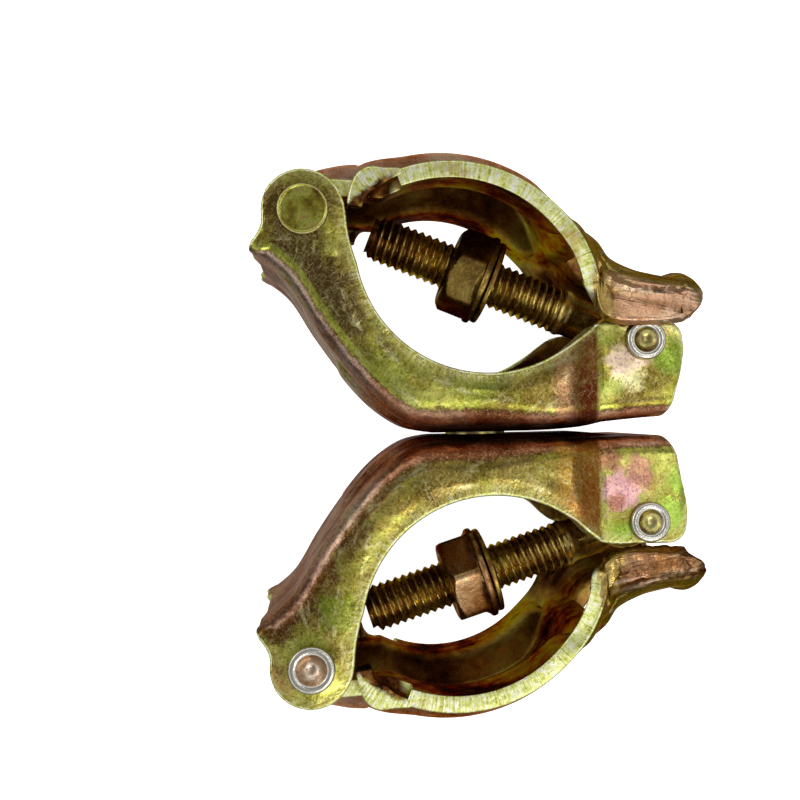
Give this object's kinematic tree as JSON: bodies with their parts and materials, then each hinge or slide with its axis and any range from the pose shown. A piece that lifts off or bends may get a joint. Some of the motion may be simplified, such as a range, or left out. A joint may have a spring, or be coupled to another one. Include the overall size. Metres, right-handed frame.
{
  "type": "swivel scaffold coupler",
  "caption": "Swivel scaffold coupler of pressed steel: half clamps back to back, each with a hinged strap, a swing bolt and a flanged nut.",
  "frame": {"origin": "middle of the bounding box's lower face, below the middle of the swivel rivet", "axes": "+Z along both tube axes, +X from the hinge side to the bolt side, +Y along the swivel rivet from half b to half a"},
  "size_m": [0.086, 0.1116, 0.0486],
  "materials": {
    "pressed_steel": "yellow-passivated zinc plate on pressed steel, mottled olive, gold and copper",
    "rivet_steel": "zinc plate worn bright on the peened rings, brassy in the hollows",
    "fastener_steel": "dark brown-gold passivated zinc on the threads and nuts"
  },
  "bodies": {
    "half_a": {"body_a": "pressed_steel", "flap_rivet_a": "rivet_steel", "bolt_pin_a": "rivet_steel", "swivel_washer_a": "fastener_steel", "swivel_rivet": "rivet_steel"},
    "half_b": {"body_b": "pressed_steel", "flap_rivet_b": "rivet_steel", "bolt_pin_b": "rivet_steel", "swivel_washer_b": "fastener_steel"},
    "strap_a": {"flap_a": "pressed_steel"},
    "strap_b": {"flap_b": "pressed_steel"},
    "bolt_a": {"eye_bolt_a": "fastener_steel"},
    "bolt_b": {"eye_bolt_b": "fastener_steel"},
    "washer_a": {"nut_washer_a": "fastener_steel"},
    "washer_b": {"nut_washer_b": "fastener_steel"},
    "nut_a": {"flange_nut_a": "fastener_steel"},
    "nut_b": {"flange_nut_b": "fastener_steel"}
  },
  "joints": [
    {"name": "swivel", "type": "hinge", "parent": "half_a", "child": "half_b", "pos_m": [-0.00005, 0.00016, 0.0243], "axis": [0, 1, 0], "continuous": true},
    {"name": "flap_open_a", "type": "hinge", "parent": "half_a", "child": "strap_a", "pos_m": [-0.03385, 0.0415, 0.0243], "axis": [0, 0, 1], "range_deg": [0, 130]},
    {"name": "flap_open_b", "type": "hinge", "parent": "half_b", "child": "strap_b", "pos_m": [-0.03385, -0.04118, 0.0243], "axis": [0, 0, -1], "range_deg": [0, 130]},
    {"name": "bolt_swing_a", "type": "hinge", "parent": "half_a", "child": "bolt_a", "pos_m": [0.02925, 0.0171, 0.0243], "axis": [0, 0, 1], "range_deg": [-95, 5]},
    {"name": "bolt_swing_b", "type": "hinge", "parent": "half_b", "child": "bolt_b", "pos_m": [0.02925, -0.01678, 0.0243], "axis": [0, 0, -1], "range_deg": [-95, 5]},
    {"name": "nut_travel_a", "type": "slide", "parent": "bolt_a", "child": "washer_a", "axis": [-0.9232, 0.3843, 0], "range_m": [-0.0141, 0.0091]},
    {"name": "nut_travel_b", "type": "slide", "parent": "bolt_b", "child": "washer_b", "axis": [-0.9553, -0.2957, 0], "range_m": [-0.0141, 0.0091]},
    {"name": "nut_spin_a", "type": "hinge", "parent": "washer_a", "child": "nut_a", "pos_m": [0.03017, 0.01932, 0.0243], "axis": [-0.9232, 0.3843, 0], "range_deg": [-3150, 2025]},
    {"name": "nut_spin_b", "type": "hinge", "parent": "washer_b", "child": "nut_b", "pos_m": [0.02996, -0.01907, 0.0243], "axis": [-0.9553, -0.2957, 0], "range_deg": [-3150, 2025]}
  ],
  "couplings": [
    {"joint": "bolt_swing_a", "follows": "flap_open_a", "ratio": -0.65},
    {"joint": "bolt_swing_b", "follows": "flap_open_b", "ratio": -0.65},
    {"joint": "nut_travel_a", "follows": "nut_spin_a", "m_per_rad": 0.00025266},
    {"joint": "nut_travel_b", "follows": "nut_spin_b", "m_per_rad": 0.00025266}
  ]
}
